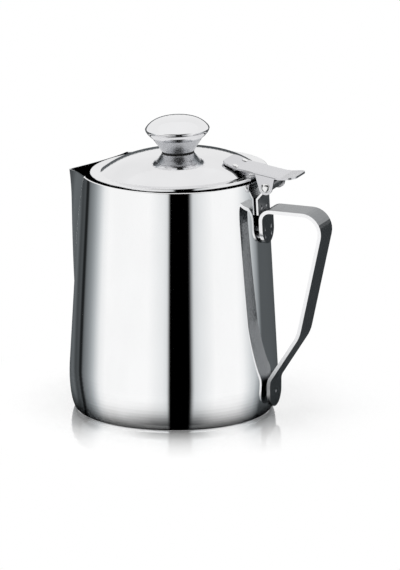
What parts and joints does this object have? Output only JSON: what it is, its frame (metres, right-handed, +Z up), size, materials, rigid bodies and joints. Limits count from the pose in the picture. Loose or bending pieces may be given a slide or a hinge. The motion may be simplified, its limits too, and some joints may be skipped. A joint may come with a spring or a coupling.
{
  "type": "hot milk jug with lid",
  "caption": "Tapered stainless milk jug with a V-shaped pouring spout, a strip handle and a domed lid with a knob, hinged at the handle with a thumb rest.",
  "frame": {"origin": "centre of the flat base, on the jug's axis, where it stands on the table", "axes": "+Z up along the jug's axis, +X towards the handle with the spout at -X, +Y across the handle along the hinge pin"},
  "size_m": [0.1417, 0.107, 0.1529],
  "materials": {
    "polished_steel": "mirror-polished stainless sheet",
    "lid_steel": "mirror-polished stainless sheet",
    "strip_steel": "satin stainless strip with polished edges",
    "hinge_steel": "polished stainless strip, folded",
    "pin_steel": "bright stainless wire, riveted over",
    "knob_satin": "fine turned satin",
    "knob_mirror": "mirror-polished spun cap",
    "seat_black": "black rubber seat",
    "screw_steel": "plain zinc-bright steel",
    "insert_brass": "turned brass"
  },
  "bodies": {
    "jug": {"jug_body": "polished_steel", "spout": "polished_steel", "handle": "strip_steel", "hinge_post": "strip_steel"},
    "lid": {"lid_cover": "lid_steel", "hinge_leaf": "hinge_steel", "leaf_rivets": "pin_steel", "hinge_pin": "pin_steel", "knob_seat": "seat_black", "knob_cone": "knob_satin", "knob_cap": "knob_mirror", "knob_insert": "insert_brass", "knob_screw": "screw_steel", "knob_washer": "screw_steel"}
  },
  "joints": [
    {"name": "lid_hinge", "type": "hinge", "parent": "jug", "child": "lid", "pos_m": [0.054, 0, 0.122], "axis": [0, 1, 0], "range_deg": [0, 58]}
  ]
}
